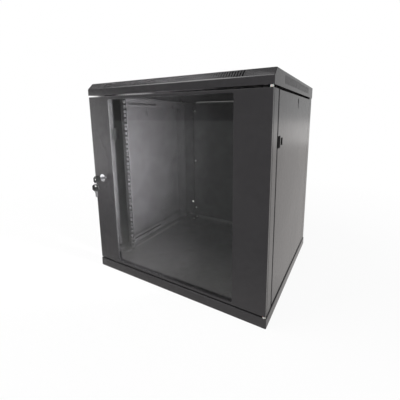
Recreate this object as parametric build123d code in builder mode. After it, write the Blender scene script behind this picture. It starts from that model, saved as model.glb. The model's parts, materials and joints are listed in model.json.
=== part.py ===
from build123d import *
from math import cos, hypot, pi, radians, sin, sqrt
import os

# Wall mount network cabinet, 600 mm wide, with twelve units of 19-inch rack space.
# Heights, insets and margins are measured from the cabinet's own faces, so that every
# piece follows when the width, depth or height changes.
# Millimetres. The origin is the centre of the underside of the base.
# +X is to the right seen from the front, -Y is the front, +Z is up.

# Overall size
cabinet_width = 600.0
cabinet_depth = 500.0
cabinet_height = 620.0

# Sheet gauges
cover_gauge = 1.2
frame_gauge = 1.5
rack_gauge = 2.0
bend_width = 1.5

# Roof and base
base_height = 27.0
roof_band = 18.6
chamfer_rise = 19.0
chamfer_run = 18.0
cover_flange_side = 38.0
cover_flange_end = 18.0
base_return = 12.0

# Vent slots
slot_width = 3.4
slot_pitch = 6.86
front_slot_inset = 67.0
front_slot_length = 20.0
side_slot_inset = 82.0
side_slot_pitch = 10.29
side_slot_length = 19.0
side_slot_drop = 17.5
floor_slot_length = 38.0
floor_slot_inset = 32.0
floor_group_front = 64.0
floor_group_length = 40.0
floor_group_gap = 10.0
floor_group_rear = 108.0
fan_diameter = 112.0
fan_slot_width = 6.0
fan_slot_pitch = 12.0
fan_rib = 6.0

# Cable entries in the roof and the floor
floor_entry_end = 100.0
floor_entry_depth = 40.0
floor_entry_rear = 34.0
roof_entry_end = 150.0
roof_entry_depth = 40.0
roof_entry_rear = 45.0
entry_overlap = 12.0

# Posts
side_inset = 2.0
front_post_face = 22.0
front_post_side = 31.8
front_post_rear = 18.0
post_neck_inset = 5.0
post_plate_inset = 17.0
post_plate_width = 18.5
post_plate_depth = 21.0
rear_post_side = 43.0
rear_post_front = 43.0
rear_post_back = 84.0
rear_post_plate = 28.0
earth_hole_inset = 33.2
earth_hole_rear = 17.0
earth_hole_radius = 2.5

# Depth rails that carry the rack rails
depth_rail_foot = 12.0
depth_rail_height = 30.0
depth_rail_inset = 22.0
depth_rail_front = 103.0
depth_slot_length = 180.0

# 19-inch rack rails. The room at each side sets the opening between them
rack_unit = 44.45
rack_hole = 9.5
rack_hole_rise = 15.875
rack_hole_first = 6.35
rack_hole_edge = 7.55
rack_side_room = 75.0
rack_face = 25.0
rack_setback = 85.0
rack_web = 24.0
rack_leg = 18.0
rack_end_gap = 7.0

# Side panels
panel_front_gap = 7.0
panel_rear_gap = 1.0
panel_flange = 16.0
panel_bend_width = 1.1
panel_foot_width = 26.0
panel_foot_inset = 110.0
panel_foot_drop = 6.3

# Door
door_gap_top = 5.3
door_gap_bottom = 4.2
door_depth = 9.0
door_bend_width = 1.1
door_lip = 8.0
stile_left = 87.0
stile_right = 91.0
door_rail = 8.0
window_corner = 4.0
window_fold = 5.0
tape_thickness = 0.6
tape_width = 4.5
glass_thickness = 4.0
glass_overlap = 5.0

# Door pivot
pivot_edge = 4.5
pivot_pin_radius = 2.0
pivot_bush_radius = 3.0
pivot_bush_flange = 4.4
pivot_bush_reach = 1.2
pivot_pin_reach = 4.0
pivot_travel = 11.0
pivot_tab_radius = 1.5
pivot_tab_length = 14.0
pivot_collar_height = 1.6
upper_bracket_drop = 10.0
upper_bracket_height = 28.0
lower_bracket_height = 14.0
spring_wire = 0.6
spring_turns = 4
spring_sides = 10
bumper_radius = 3.0

# Lock
lock_inset = 40.0
lock_rise = 15.85
lock_bezel_radius = 12.5
lock_bezel_height = 2.6
lock_barrel_radius = 9.5
lock_plug_radius = 7.0
lock_nut_thickness = 4.5
cam_length = 30.0
cam_width = 14.0
cam_gauge = 2.0

# Keys
key_head_length = 22.0
key_head_width = 21.0
key_head_thickness = 5.0
key_hole_radius = 3.0
key_blade_length = 21.0
key_blade_width = 8.0
key_blade_gauge = 2.0
key_ring_radius = 9.0
key_ring_wire = 0.75
key_ring_section = (1.2, 0.9)
key_ring_turn = 20.0

# Side panel edge latch
edge_latch_drop = 120.6
edge_notch_height = 29.0
edge_notch_depth = 22.0
edge_window_start = 27.0
edge_window_length = 16.0
edge_window_height = 18.0
edge_latch_travel = 8.0
edge_housing_length = 49.0
edge_housing_height = 37.0
edge_housing_depth = 12.8
edge_bolt_height = 12.0
edge_bolt_thickness = 5.0

# Side panel top latch
top_latch_y = 13.5
top_slot_width = 10.0
top_slot_drop = 37.1
top_slot_length = 28.0
top_latch_travel = 13.0
top_strip_width = 15.0
top_strip_gauge = 1.5
top_strip_offset = 1.8

# Back panel and wall fixing
back_panel_inset = 70.0
back_panel_fold = 10.0
wall_hole_inset = 57.0
wall_hole_end = 67.7
wall_hole_radius = 4.5

# Bolts: shank radius, head radius and head height
m6_radius = 3.0
m6_head_radius = 5.5
m6_head_height = 4.0
m4_radius = 2.0
m4_head_height = 2.4
front_bolt_inset = 28.0
front_bolt_front = 32.0
rear_bolt_inset = 12.0
rear_bolt_rear = 22.0
round_sides = 6
barrel_sides = 12

# Clearances
hole_clearance = 0.3
running_clearance = 0.05
rest_gap = 0.3
swing_clearance = 0.35
slide_gap = 0.2
hair = 0.1

# Levels and faces that several pieces share
half_width = cabinet_width / 2
front_y = -cabinet_depth / 2
rear_y = cabinet_depth / 2
floor_z = base_height
roof_height = roof_band + chamfer_rise
ceiling_z = cabinet_height - roof_height
flange_top_z = ceiling_z + cover_gauge
side_x = half_width - side_inset
interior_height = ceiling_z - floor_z
middle_z = (floor_z + ceiling_z) / 2

door_low = floor_z + door_gap_bottom
door_high = ceiling_z - door_gap_top
door_back_y = front_y + door_depth
pivot_x = side_x - pivot_edge
pivot_y = front_y + door_depth / 2
door_swing_radius = hypot(pivot_edge, door_depth / 2)
post_front_y = pivot_y + door_swing_radius + swing_clearance
post_rear_y = post_front_y + front_post_side
rear_post_y = rear_y - rear_post_side

panel_front_y = post_rear_y + panel_front_gap
panel_rear_y = rear_post_y - panel_rear_gap
panel_low = door_low
panel_high = door_high
panel_inner_x = side_x - cover_gauge
foot_y = cabinet_depth / 2 - panel_foot_inset

window_left = -side_x + stile_left
window_right = side_x - stile_right
window_low = door_low + door_rail
window_high = door_high - door_rail
window_x = (window_left + window_right) / 2
window_z = (window_low + window_high) / 2
window_width = window_right - window_left
window_height = window_high - window_low
fold_back_y = front_y + window_fold
glass_front_y = fold_back_y + tape_thickness

# Roof and floor openings
front_slot_field = cabinet_width - 2 * front_slot_inset
side_slot_field = cabinet_depth - 2 * side_slot_inset
floor_slot_x = side_x - floor_slot_inset
floor_group_start = front_y + floor_group_front
floor_group_end = floor_group_start + floor_group_length
floor_row_start = floor_group_end + floor_group_gap
floor_row_end = rear_y - floor_group_rear
floor_entry_width = cabinet_width - 2 * floor_entry_end
floor_entry_y = rear_y - floor_entry_rear
roof_entry_width = cabinet_width - 2 * roof_entry_end
roof_entry_y = rear_y - roof_entry_rear
earth_hole_x = side_x - earth_hole_inset
earth_hole_y = rear_y - earth_hole_rear
post_bolts = [
    (side * (side_x - inset), y)
    for inset, y in (
        (front_bolt_inset, front_y + front_bolt_front),
        (rear_bolt_inset, rear_y - rear_bolt_rear),
    )
    for side in (-1, 1)
]

# Rails
depth_rail_x = side_x - depth_rail_inset
depth_rail_inner_x = depth_rail_x - frame_gauge
depth_rail_front_y = front_y + depth_rail_front
rack_opening = cabinet_width - 2 * rack_side_room
rack_front_y = front_y + rack_setback
rack_height = interior_height - 2 * rack_end_gap
rack_units = int(rack_height / rack_unit)
rack_low = floor_z + rack_end_gap
rack_first_z = middle_z - rack_units * rack_unit / 2 + rack_hole_first
rack_bolt_z = floor_z + depth_rail_height * 0.6
rack_bolt_y = rack_front_y + rack_web + rack_leg / 2

# Latches and lock
edge_latch_z = panel_high - edge_latch_drop
edge_bolt_x = panel_inner_x - edge_housing_depth / 2 - 1.4
edge_window_y = panel_front_y + edge_window_start + edge_window_length / 2
edge_grip_length = edge_window_length - edge_latch_travel - 2 * rest_gap
top_slot_low = panel_high - top_slot_drop
top_knob_height = top_slot_length - top_latch_travel - 1.0
top_strip_x = panel_inner_x - top_strip_offset - top_strip_gauge / 2
lock_x = -side_x + lock_inset
lock_z = (door_low + door_high) / 2 + lock_rise

# Rear fixing
back_panel_width = 2 * (side_x - back_panel_inset)
wall_hole_x = side_x - wall_hole_inset
wall_hole_levels = [floor_z + wall_hole_end, ceiling_z - wall_hole_end]

pivot_bracket_x = pivot_x - pivot_edge - 1.0
pivot_bracket_front = front_y + door_bend_width + hair
pivot_bracket_back = door_back_y - cover_gauge
upper_ear_high = door_high - upper_bracket_drop
upper_ear_low = upper_ear_high - upper_bracket_height
pivot_tab_z = upper_ear_high - frame_gauge - pivot_tab_radius - 3.5
pivot_collar_z = pivot_tab_z - pivot_tab_radius - pivot_collar_height - 0.4

os.makedirs("parts", exist_ok=True)


def publish(part, name):
    """Label a finished piece and write it to its own file."""
    part.label = name
    export_step(part, f"parts/{name}.step")


def publish_pair(right, name):
    """Write a right-hand piece, and its mirror image as the left-hand one."""
    publish(right.part, f"{name}_right")
    with BuildPart() as left:
        mirror(right.part, about=Plane.YZ)
    publish(left.part, f"{name}_left")


def small_round(radius, sides=round_sides):
    """A small hole or shank, drawn with few sides that all lie outside the radius."""
    RegularPolygon(radius, sides, major_radius=False)


def small_hole(radius, sides=round_sides):
    """Cut a small hole in the open sketch."""
    RegularPolygon(radius, sides, major_radius=False, mode=Mode.SUBTRACT)


def mirrored(x, *levels):
    """The places at plus and minus x, at each of the levels of the other coordinate."""
    return [(side * x, level) for side in (-1, 1) for level in levels]


# Roof cover: a folded pan with a sloping front edge, open below
def make_roof_cover():
    slope = hypot(chamfer_run, chamfer_rise)
    inner_band_z = ceiling_z + roof_band - cover_gauge * (slope - chamfer_rise) / chamfer_run
    inner_top_y = front_y + chamfer_run + cover_gauge * (slope - chamfer_run) / chamfer_rise
    slope_plane = Plane(
        origin=(0, front_y + chamfer_run / 2, cabinet_height - chamfer_rise / 2),
        x_dir=(1, 0, 0),
        z_dir=(0, -chamfer_rise, chamfer_run),
    )
    with BuildPart() as roof_cover:
        with BuildSketch(Plane.YZ.offset(-half_width)):
            with BuildLine():
                Polyline(
                    (front_y, ceiling_z),
                    (front_y, ceiling_z + roof_band),
                    (front_y + chamfer_run, cabinet_height),
                    (rear_y, cabinet_height),
                    (rear_y, ceiling_z),
                    close=True,
                )
            make_face()
        extrude(amount=cabinet_width)
        lower_edges = roof_cover.faces().sort_by(Axis.Z)[0].edges()
        chamfer([e for e in roof_cover.edges() if e not in lower_edges], length=bend_width)
        with BuildSketch(Plane.YZ.offset(cover_gauge - half_width)):
            with BuildLine():
                Polyline(
                    (front_y + cover_gauge, ceiling_z),
                    (front_y + cover_gauge, inner_band_z),
                    (inner_top_y, cabinet_height - cover_gauge),
                    (rear_y - cover_gauge, cabinet_height - cover_gauge),
                    (rear_y - cover_gauge, ceiling_z),
                    close=True,
                )
            make_face()
        extrude(amount=cabinet_width - 2 * cover_gauge, mode=Mode.SUBTRACT)
        # Return flange round the open underside
        with BuildSketch(Plane.XY.offset(ceiling_z)) as flange:
            Rectangle(cabinet_width, cabinet_depth)
            chamfer(flange.vertices(), length=bend_width)
            Rectangle(
                cabinet_width - 2 * cover_flange_side,
                cabinet_depth - 2 * cover_flange_end,
                mode=Mode.SUBTRACT,
            )
            with Locations((pivot_x, pivot_y)):
                small_hole(pivot_bush_radius + running_clearance)
            with Locations(*post_bolts):
                small_hole(m6_radius + hole_clearance)
            with Locations(*mirrored(top_strip_x, top_latch_y)):
                Rectangle(
                    top_strip_gauge + 8 * slide_gap,
                    top_strip_width + 8 * slide_gap,
                    mode=Mode.SUBTRACT,
                )
        extrude(amount=cover_gauge)
        # Vent slots along the front slope
        with BuildSketch(slope_plane):
            with GridLocations(slot_pitch, 1, int(front_slot_field / slot_pitch), 1):
                Rectangle(slot_width, front_slot_length)
        extrude(amount=-3 * cover_gauge, mode=Mode.SUBTRACT)
        # Vent slots through both sides
        with BuildSketch(Plane.YZ):
            with Locations((0, cabinet_height - side_slot_drop)):
                with GridLocations(side_slot_pitch, 1, int(side_slot_field / side_slot_pitch), 1):
                    Rectangle(slot_width, side_slot_length)
        extrude(amount=cabinet_width, both=True, mode=Mode.SUBTRACT)
        # Fan outlet: parallel slots clipped to a circle with a rib across, and a cable entry
        with BuildSketch(Plane.XY.offset(cabinet_height)):
            for y, length in fan_slots():
                for side in (-1, 1):
                    with Locations((side * (length / 2 + fan_rib) / 2, y)):
                        Rectangle(length / 2 - fan_rib / 2, fan_slot_width)
            with Locations((0, roof_entry_y)):
                Rectangle(roof_entry_width, roof_entry_depth)
        extrude(amount=-3 * cover_gauge, mode=Mode.SUBTRACT)
    return roof_cover


def fan_slots():
    """The middle line and whole length of each slot of the round fan outlet."""
    count = int((fan_diameter / 2 - fan_slot_width) / fan_slot_pitch)
    rows = [i * fan_slot_pitch for i in range(-count, count + 1)]
    return [(y, 2 * sqrt((fan_diameter / 2) ** 2 - y * y)) for y in rows]


# Base: a folded pan turned over, whose top is the cabinet's floor
def make_base_tray():
    with BuildPart() as base_tray:
        with BuildSketch():
            Rectangle(cabinet_width, cabinet_depth)
        extrude(amount=base_height)
        lower_edges = base_tray.faces().sort_by(Axis.Z)[0].edges()
        chamfer([e for e in base_tray.edges() if e not in lower_edges], length=bend_width)
        with BuildSketch():
            Rectangle(cabinet_width - 2 * cover_gauge, cabinet_depth - 2 * cover_gauge)
        extrude(amount=base_height - cover_gauge, mode=Mode.SUBTRACT)
        # Return flange round the underside, which the cabinet stands on
        with BuildSketch() as flange:
            Rectangle(cabinet_width, cabinet_depth)
            chamfer(flange.vertices(), length=bend_width)
            Rectangle(
                cabinet_width - 2 * base_return,
                cabinet_depth - 2 * base_return,
                mode=Mode.SUBTRACT,
            )
        extrude(amount=cover_gauge)
        # Vent slots in two groups beside each side panel
        with BuildSketch(Plane.XY.offset(floor_z)):
            for start, end in (
                (floor_group_start, floor_group_end),
                (floor_row_start, floor_row_end),
            ):
                for x in (-floor_slot_x, floor_slot_x):
                    with Locations((x, (start + end) / 2)):
                        with GridLocations(1, slot_pitch, 1, int((end - start) / slot_pitch)):
                            Rectangle(floor_slot_length, slot_width)
            # Cable entry
            with Locations((0, floor_entry_y)):
                Rectangle(floor_entry_width, floor_entry_depth)
            # Slots for the tongues of the side panels' feet
            with Locations(*mirrored(panel_inner_x - panel_foot_drop / 3, -foot_y, foot_y)):
                Rectangle(panel_foot_drop - 1.0, panel_foot_width)
            with Locations((pivot_x, pivot_y)):
                small_round(pivot_bush_radius + running_clearance)
            with Locations(*post_bolts):
                small_round(m6_radius + hole_clearance)
            # Two small earthing holes in each rear corner
            with Locations(*mirrored(earth_hole_x, earth_hole_y)):
                small_round(earth_hole_radius)
            with Locations(*mirrored(earth_hole_x - 20.5, earth_hole_y - 12.0)):
                small_round(earth_hole_radius)
        extrude(amount=-2 * cover_gauge, mode=Mode.SUBTRACT)
    return base_tray


# Plates that close the cable entries from inside the roof and from below the floor
def make_entry_cover(width, depth, y, top_z):
    with BuildPart() as cover:
        with BuildSketch(Plane.XY.offset(top_z)):
            with Locations((0, y)):
                Rectangle(width + 2 * entry_overlap, depth + 2 * entry_overlap / 3)
        extrude(amount=-cover_gauge)
    return cover


# Front post: a C section that ends level with the door. A narrow neck and a plate carry
# the roof, so that the shadow gap under the roof runs round the corner
def make_front_post():
    plate_x = side_x - post_plate_inset - post_plate_width / 2
    plate_y = post_rear_y - post_plate_depth / 2
    neck_side = post_plate_inset + post_plate_width - post_neck_inset
    with BuildPart() as post:
        with BuildSketch(Plane.XY.offset(floor_z)):
            with BuildLine():
                Polyline(
                    (side_x - front_post_face, post_front_y),
                    (side_x, post_front_y),
                    (side_x, post_rear_y),
                    (side_x - front_post_rear, post_rear_y),
                )
                offset(amount=frame_gauge, side=Side.LEFT, kind=Kind.INTERSECTION)
            make_face()
        extrude(amount=door_high - floor_z)
        # Neck above the rear flange
        with BuildSketch(Plane.XZ.offset(-post_rear_y)):
            with Locations((side_x - post_neck_inset - neck_side / 2, door_high)):
                Rectangle(neck_side, 2 * door_gap_top)
        extrude(amount=frame_gauge)
        # Plates under the roof and on the floor
        with BuildSketch(Plane.XY.offset(ceiling_z - frame_gauge)):
            with Locations((plate_x, plate_y)):
                Rectangle(post_plate_width, post_plate_depth)
            with Locations(post_bolts[1]):
                small_hole(m6_radius + hole_clearance)
        extrude(amount=frame_gauge)
        with BuildSketch(Plane.XY.offset(floor_z)):
            with Locations((plate_x + (post_plate_inset - frame_gauge) / 2, plate_y)):
                Rectangle(post_plate_width + post_plate_inset - frame_gauge, post_plate_depth)
            with Locations(post_bolts[1]):
                small_hole(m6_radius + hole_clearance)
        extrude(amount=frame_gauge)
        # Slot in the rear flange that the side panel's edge bolt enters
        with BuildSketch(Plane.XZ.offset(-post_rear_y)):
            with Locations((edge_bolt_x, edge_latch_z)):
                Rectangle(edge_bolt_thickness + 1.2, edge_bolt_height + 1.2)
        extrude(amount=2 * frame_gauge, both=True, mode=Mode.SUBTRACT)
    return post


# Rubber pads on the left front post that the shut door stops against
def make_door_bumpers():
    pad_x = side_x - frame_gauge - bumper_radius - hair
    with BuildPart() as bumpers:
        with BuildSketch(Plane.XZ.offset(-post_front_y)):
            with Locations((-pad_x, door_low + 30.0), (-pad_x, door_high - 30.0)):
                RegularPolygon(bumper_radius, round_sides)
        extrude(amount=post_front_y - door_back_y - rest_gap)
    return bumpers


# Rear post: a C section with a wide rear flange for the wall and the back panel
def make_rear_post():
    with BuildPart() as post:
        with BuildSketch(Plane.XY.offset(floor_z)):
            with BuildLine():
                Polyline(
                    (side_x - rear_post_front, rear_post_y),
                    (side_x, rear_post_y),
                    (side_x, rear_y),
                    (side_x - rear_post_back, rear_y),
                )
                offset(amount=frame_gauge, side=Side.LEFT, kind=Kind.INTERSECTION)
            make_face()
        extrude(amount=interior_height)
        with BuildSketch(Plane.XY.offset(floor_z), Plane.XY.offset(ceiling_z - frame_gauge)):
            with BuildLine():
                Polyline(
                    (side_x - rear_post_plate, rear_post_y + frame_gauge),
                    (side_x - frame_gauge, rear_post_y + frame_gauge),
                    (side_x - frame_gauge, rear_y - frame_gauge),
                    (side_x - rear_post_plate, rear_y - frame_gauge),
                    close=True,
                )
            make_face()
            with Locations(post_bolts[3]):
                small_hole(m6_radius + hole_clearance)
        extrude(amount=frame_gauge)
        # Wall fixing holes
        with BuildSketch(Plane.XZ.offset(-rear_y)):
            with Locations(*[(wall_hole_x, z) for z in wall_hole_levels]):
                Circle(wall_hole_radius)
        extrude(amount=1.5 * frame_gauge, both=True, mode=Mode.SUBTRACT)
    return post


# Back panel: a shallow pan with its four edges folded forward
def make_back_panel():
    skin_y = rear_y - frame_gauge
    height = panel_high - panel_low
    with BuildPart() as panel:
        with BuildSketch(Plane.XZ.offset(-skin_y)):
            with Locations((0, panel_low + height / 2)):
                Rectangle(back_panel_width, height)
        extrude(amount=back_panel_fold)
        with BuildSketch(Plane.XZ.offset(cover_gauge - skin_y)):
            with Locations((0, panel_low + height / 2)):
                Rectangle(back_panel_width - 2 * cover_gauge, height - 2 * cover_gauge)
        extrude(amount=back_panel_fold, mode=Mode.SUBTRACT)
    return panel


# Depth rail: an angle welded to the floor, or to the roof's flange, with a long slot
def make_depth_rail(upper):
    foot_z = ceiling_z if upper else floor_z
    up = -1 if upper else 1
    slot_y = depth_rail_front_y + 8.0 + depth_slot_length / 2
    with BuildPart() as rail:
        with BuildSketch(Plane.XZ.offset(-depth_rail_front_y)):
            with BuildLine():
                Polyline(
                    (depth_rail_x - depth_rail_foot, foot_z),
                    (depth_rail_x, foot_z),
                    (depth_rail_x, foot_z + up * depth_rail_height),
                )
                inward = Side.RIGHT if upper else Side.LEFT
                offset(amount=frame_gauge, side=inward, kind=Kind.INTERSECTION)
            make_face()
        extrude(amount=-(rear_post_y - depth_rail_front_y))
        with BuildSketch(Plane.YZ.offset(depth_rail_x)):
            with Locations((slot_y, foot_z + up * (rack_bolt_z - floor_z))):
                Rectangle(depth_slot_length, 2 * (m6_radius + hole_clearance))
        extrude(amount=-2 * frame_gauge, mode=Mode.SUBTRACT)
    return rail


# Rack rail: a folded upright with the square holes of the 19-inch grid in its face
def make_rack_rail():
    inner = rack_opening / 2
    leg_x = depth_rail_inner_x
    hole_x = inner + rack_hole_edge
    rise = [0.0, rack_hole_rise, 2 * rack_hole_rise]
    with BuildPart() as rail:
        with BuildSketch(Plane.XY.offset(rack_low)):
            with BuildLine():
                Polyline(
                    (inner, rack_front_y),
                    (inner + rack_face, rack_front_y),
                    (inner + rack_face, rack_front_y + rack_web),
                    (leg_x, rack_front_y + rack_web),
                    (leg_x, rack_front_y + rack_web + rack_leg),
                )
                offset(amount=rack_gauge, side=Side.LEFT, kind=Kind.INTERSECTION)
            make_face()
        extrude(amount=rack_height)
        with BuildSketch(Plane.XZ.offset(-rack_front_y)):
            for unit in range(rack_units):
                with Locations(*[(hole_x, rack_first_z + unit * rack_unit + z) for z in rise]):
                    Rectangle(rack_hole, rack_hole)
        extrude(amount=-1.5 * rack_gauge, mode=Mode.SUBTRACT)
        with BuildSketch(Plane.YZ.offset(leg_x)):
            with Locations((rack_bolt_y, rack_bolt_z), (rack_bolt_y, mirror_z(rack_bolt_z))):
                small_round(m6_radius + hole_clearance)
        extrude(amount=-2 * rack_gauge, mode=Mode.SUBTRACT)
    return rail


def mirror_z(z):
    """The height as far under the ceiling as z is above the floor."""
    return floor_z + ceiling_z - z


# Side panel: a shallow pan with a notch and a window for the edge latch,
# a slot for the top latch, and two feet that stand in slots of the floor
def make_side_panel():
    length = panel_rear_y - panel_front_y
    height = panel_high - panel_low
    middle = (panel_front_y + panel_rear_y) / 2
    foot_low = floor_z + rest_gap
    with BuildPart() as panel:
        with BuildSketch(Plane.YZ.offset(side_x - panel_flange)):
            with Locations((middle, (panel_low + panel_high) / 2)):
                Rectangle(length, height)
        extrude(amount=panel_flange)
        chamfer(panel.faces().sort_by(Axis.X)[-1].edges(), length=panel_bend_width)
        with BuildSketch(Plane.YZ.offset(side_x - panel_flange)):
            with Locations((middle, (panel_low + panel_high) / 2)):
                Rectangle(length - 2 * cover_gauge, height - 2 * cover_gauge)
        extrude(amount=panel_flange - cover_gauge, mode=Mode.SUBTRACT)
        # Feet welded inside the lower edge
        with BuildSketch(Plane.YZ.offset(panel_inner_x)):
            for y in (-foot_y, foot_y):
                with Locations((y, (foot_low + panel_low + 12.0) / 2)):
                    Rectangle(panel_foot_width, panel_low + 12.0 - foot_low)
                with Locations((y, foot_low - panel_foot_drop / 2)):
                    Rectangle(panel_foot_width - 6.0, panel_foot_drop)
        extrude(amount=-cover_gauge)
        # Notch and window of the edge latch
        with BuildSketch(Plane.YZ.offset(side_x)):
            with Locations((panel_front_y + edge_notch_depth / 2, edge_latch_z)):
                Rectangle(edge_notch_depth, edge_notch_height)
            with Locations((edge_window_y, edge_latch_z)):
                Rectangle(edge_window_length, edge_window_height)
        extrude(amount=-2 * cover_gauge, mode=Mode.SUBTRACT)
        with BuildSketch(Plane.XZ.offset(-panel_front_y)):
            with Locations((side_x - panel_flange / 2, edge_latch_z)):
                Rectangle(2 * panel_flange, edge_notch_height)
        extrude(amount=-2 * cover_gauge, mode=Mode.SUBTRACT)
        # Slot of the top latch, and the hole in the upper flange for its strip
        with BuildSketch(Plane.YZ.offset(side_x)):
            with Locations((top_latch_y, top_slot_low + top_slot_length / 2)):
                Rectangle(top_slot_width, top_slot_length)
        extrude(amount=-2 * cover_gauge, mode=Mode.SUBTRACT)
        with BuildSketch(Plane.XY.offset(panel_high)):
            with Locations((top_strip_x, top_latch_y)):
                Rectangle(top_strip_gauge + 4 * slide_gap, top_strip_width + 4 * slide_gap)
        extrude(amount=-2 * cover_gauge, mode=Mode.SUBTRACT)
    return panel


# Edge latch: a moulded housing behind the panel, with a bolt that slides forward in it
def make_edge_housing():
    front = panel_front_y + panel_bend_width + hair
    pad_length = panel_front_y + edge_notch_depth - hair - front
    with BuildPart() as housing:
        with BuildSketch(Plane.YZ.offset(panel_inner_x)):
            with Locations((front + edge_housing_length / 2, edge_latch_z)):
                Rectangle(edge_housing_length, edge_housing_height)
        extrude(amount=-edge_housing_depth)
        # Raised pad that fills the notch, flush with the panel
        with BuildSketch(Plane.YZ.offset(panel_inner_x)):
            with Locations((front + pad_length / 2, edge_latch_z)):
                Rectangle(pad_length, edge_notch_height - 2 * hair)
        extrude(amount=cover_gauge)
        # Channel of the bolt, open at both ends
        with BuildSketch(Plane.XZ.offset(-front)):
            with Locations((edge_bolt_x, edge_latch_z)):
                Rectangle(edge_bolt_thickness + 2 * slide_gap, edge_bolt_height + 2 * slide_gap)
        extrude(amount=-edge_housing_length, mode=Mode.SUBTRACT)
        # Well of the finger grip
        with BuildSketch(Plane.YZ.offset(panel_inner_x)):
            with Locations((edge_window_y, edge_latch_z)):
                Rectangle(edge_window_length, edge_window_height)
        extrude(amount=edge_bolt_x - panel_inner_x, mode=Mode.SUBTRACT)
    return housing


def make_edge_bolt():
    tip = panel_front_y - 2.0
    tail = panel_front_y + edge_window_start + edge_window_length + 2.0
    grip_y = panel_front_y + edge_window_start + edge_window_length - hair - edge_grip_length / 2
    with BuildPart() as bolt:
        with BuildSketch(Plane.YZ.offset(edge_bolt_x - edge_bolt_thickness / 2)):
            with Locations(((tip + tail) / 2, edge_latch_z)):
                Rectangle(tail - tip, edge_bolt_height)
        extrude(amount=edge_bolt_thickness)
        # Sloping nose
        nose = bolt.faces().sort_by(Axis.Y)[0].edges().sort_by(Axis.X)[-1]
        chamfer(nose, length=2.5)
        # Finger grip with two grooves
        with BuildSketch(Plane.YZ.offset(edge_bolt_x)):
            with Locations((grip_y, edge_latch_z)):
                Rectangle(edge_grip_length, edge_window_height - 1.0)
        extrude(amount=side_x - 0.4 - edge_bolt_x)
        with BuildSketch(Plane.YZ.offset(side_x - 0.4)):
            with Locations((grip_y - 1.6, edge_latch_z), (grip_y + 1.6, edge_latch_z)):
                Rectangle(1.2, edge_window_height - 4.0)
        extrude(amount=-1.0, mode=Mode.SUBTRACT)
    return bolt


# Top latch: a steel strip with a folded finger tab, sliding in a guide on the panel
def make_top_guide():
    base_x = top_strip_x - top_strip_gauge / 2 - slide_gap
    half = top_strip_width / 2 + slide_gap
    low = top_slot_low - 22.0
    high = top_slot_low - 4.0
    with BuildPart() as guide:
        with BuildSketch(Plane.XY.offset(low)):
            with BuildLine():
                Polyline(
                    (panel_inner_x, top_latch_y - half - 7.0),
                    (panel_inner_x, top_latch_y - half),
                    (base_x, top_latch_y - half),
                    (base_x, top_latch_y + half),
                    (panel_inner_x, top_latch_y + half),
                    (panel_inner_x, top_latch_y + half + 7.0),
                )
                offset(amount=top_strip_gauge, side=Side.LEFT, kind=Kind.INTERSECTION)
            make_face()
        extrude(amount=high - low)
    return guide


def make_top_strip():
    low = top_slot_low - 30.0
    high = panel_high - 0.5
    tab_low = top_slot_low + 0.5
    with BuildPart() as strip:
        with BuildSketch(Plane.YZ.offset(top_strip_x - top_strip_gauge / 2)):
            with Locations((top_latch_y, (low + high) / 2)):
                Rectangle(top_strip_width, high - low)
        extrude(amount=top_strip_gauge)
        with BuildSketch(Plane.YZ.offset(top_strip_x)):
            with Locations((top_latch_y, tab_low + top_knob_height / 2)):
                Rectangle(top_slot_width - 2 * slide_gap, top_knob_height)
        extrude(amount=side_x - 0.5 - top_strip_x)
        with BuildSketch(Plane.YZ.offset(side_x - 0.5)):
            with Locations((top_latch_y, tab_low + top_knob_height / 2)):
                with GridLocations(1, 3.2, 1, 3):
                    Rectangle(top_slot_width - 3.0, 1.2)
        extrude(amount=-0.8, mode=Mode.SUBTRACT)
    return strip


# Door frame: a folded pan with a window, whose edge is folded back to carry the glass
def make_door_frame():
    width = 2 * side_x
    height = door_high - door_low
    door_middle_z = (door_low + door_high) / 2
    with BuildPart() as frame:
        with BuildSketch(Plane.XZ.offset(-door_back_y)):
            with Locations((0, door_middle_z)):
                Rectangle(width, height)
        extrude(amount=door_depth)
        chamfer(frame.faces().sort_by(Axis.Y)[0].edges(), length=door_bend_width)
        with BuildSketch(Plane.XZ.offset(-door_back_y)):
            with Locations((0, door_middle_z)):
                Rectangle(width - 2 * cover_gauge, height - 2 * cover_gauge)
        extrude(amount=door_depth - cover_gauge, mode=Mode.SUBTRACT)
        # Return lips at the back of both stiles
        with BuildSketch(Plane.XZ.offset(-door_back_y)):
            for x in (-1, 1):
                with Locations((x * (side_x - door_lip / 2), door_middle_z)):
                    Rectangle(door_lip, height)
        extrude(amount=cover_gauge)
        # Window with its folded edge
        with BuildSketch(Plane.XZ.offset(-fold_back_y)) as fold:
            window_outline(fold, cover_gauge)
        extrude(amount=window_fold)
        with BuildSketch(Plane.XZ.offset(-fold_back_y)) as opening:
            window_outline(opening, 0.0)
        extrude(amount=window_fold, mode=Mode.SUBTRACT)
        # Hole for the lock
        with BuildSketch(Plane.XZ.offset(-front_y)):
            with Locations((lock_x, lock_z)):
                small_round(lock_barrel_radius + running_clearance, barrel_sides)
        extrude(amount=-2 * cover_gauge, mode=Mode.SUBTRACT)
        # Holes for the pivot pins
        with BuildSketch(Plane.XY.offset(door_high), Plane.XY.offset(door_low + 2 * cover_gauge)):
            with Locations((pivot_x, pivot_y)):
                Circle(pivot_pin_radius + running_clearance)
        extrude(amount=-2 * cover_gauge, mode=Mode.SUBTRACT)
    return frame


def window_outline(sketch, margin):
    """The window with cut corners, larger by the margin, in the open sketch."""
    with Locations((window_x, window_z)):
        Rectangle(window_width + 2 * margin, window_height + 2 * margin)
    chamfer(sketch.vertices(), length=window_corner)


def make_glass_tape():
    with BuildPart() as tape:
        with BuildSketch(Plane.XZ.offset(-glass_front_y)):
            with Locations((window_x, window_z)):
                Rectangle(window_width + 2 * tape_width, window_height + 2 * tape_width)
                Rectangle(window_width, window_height, mode=Mode.SUBTRACT)
        extrude(amount=tape_thickness)
    return tape


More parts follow.
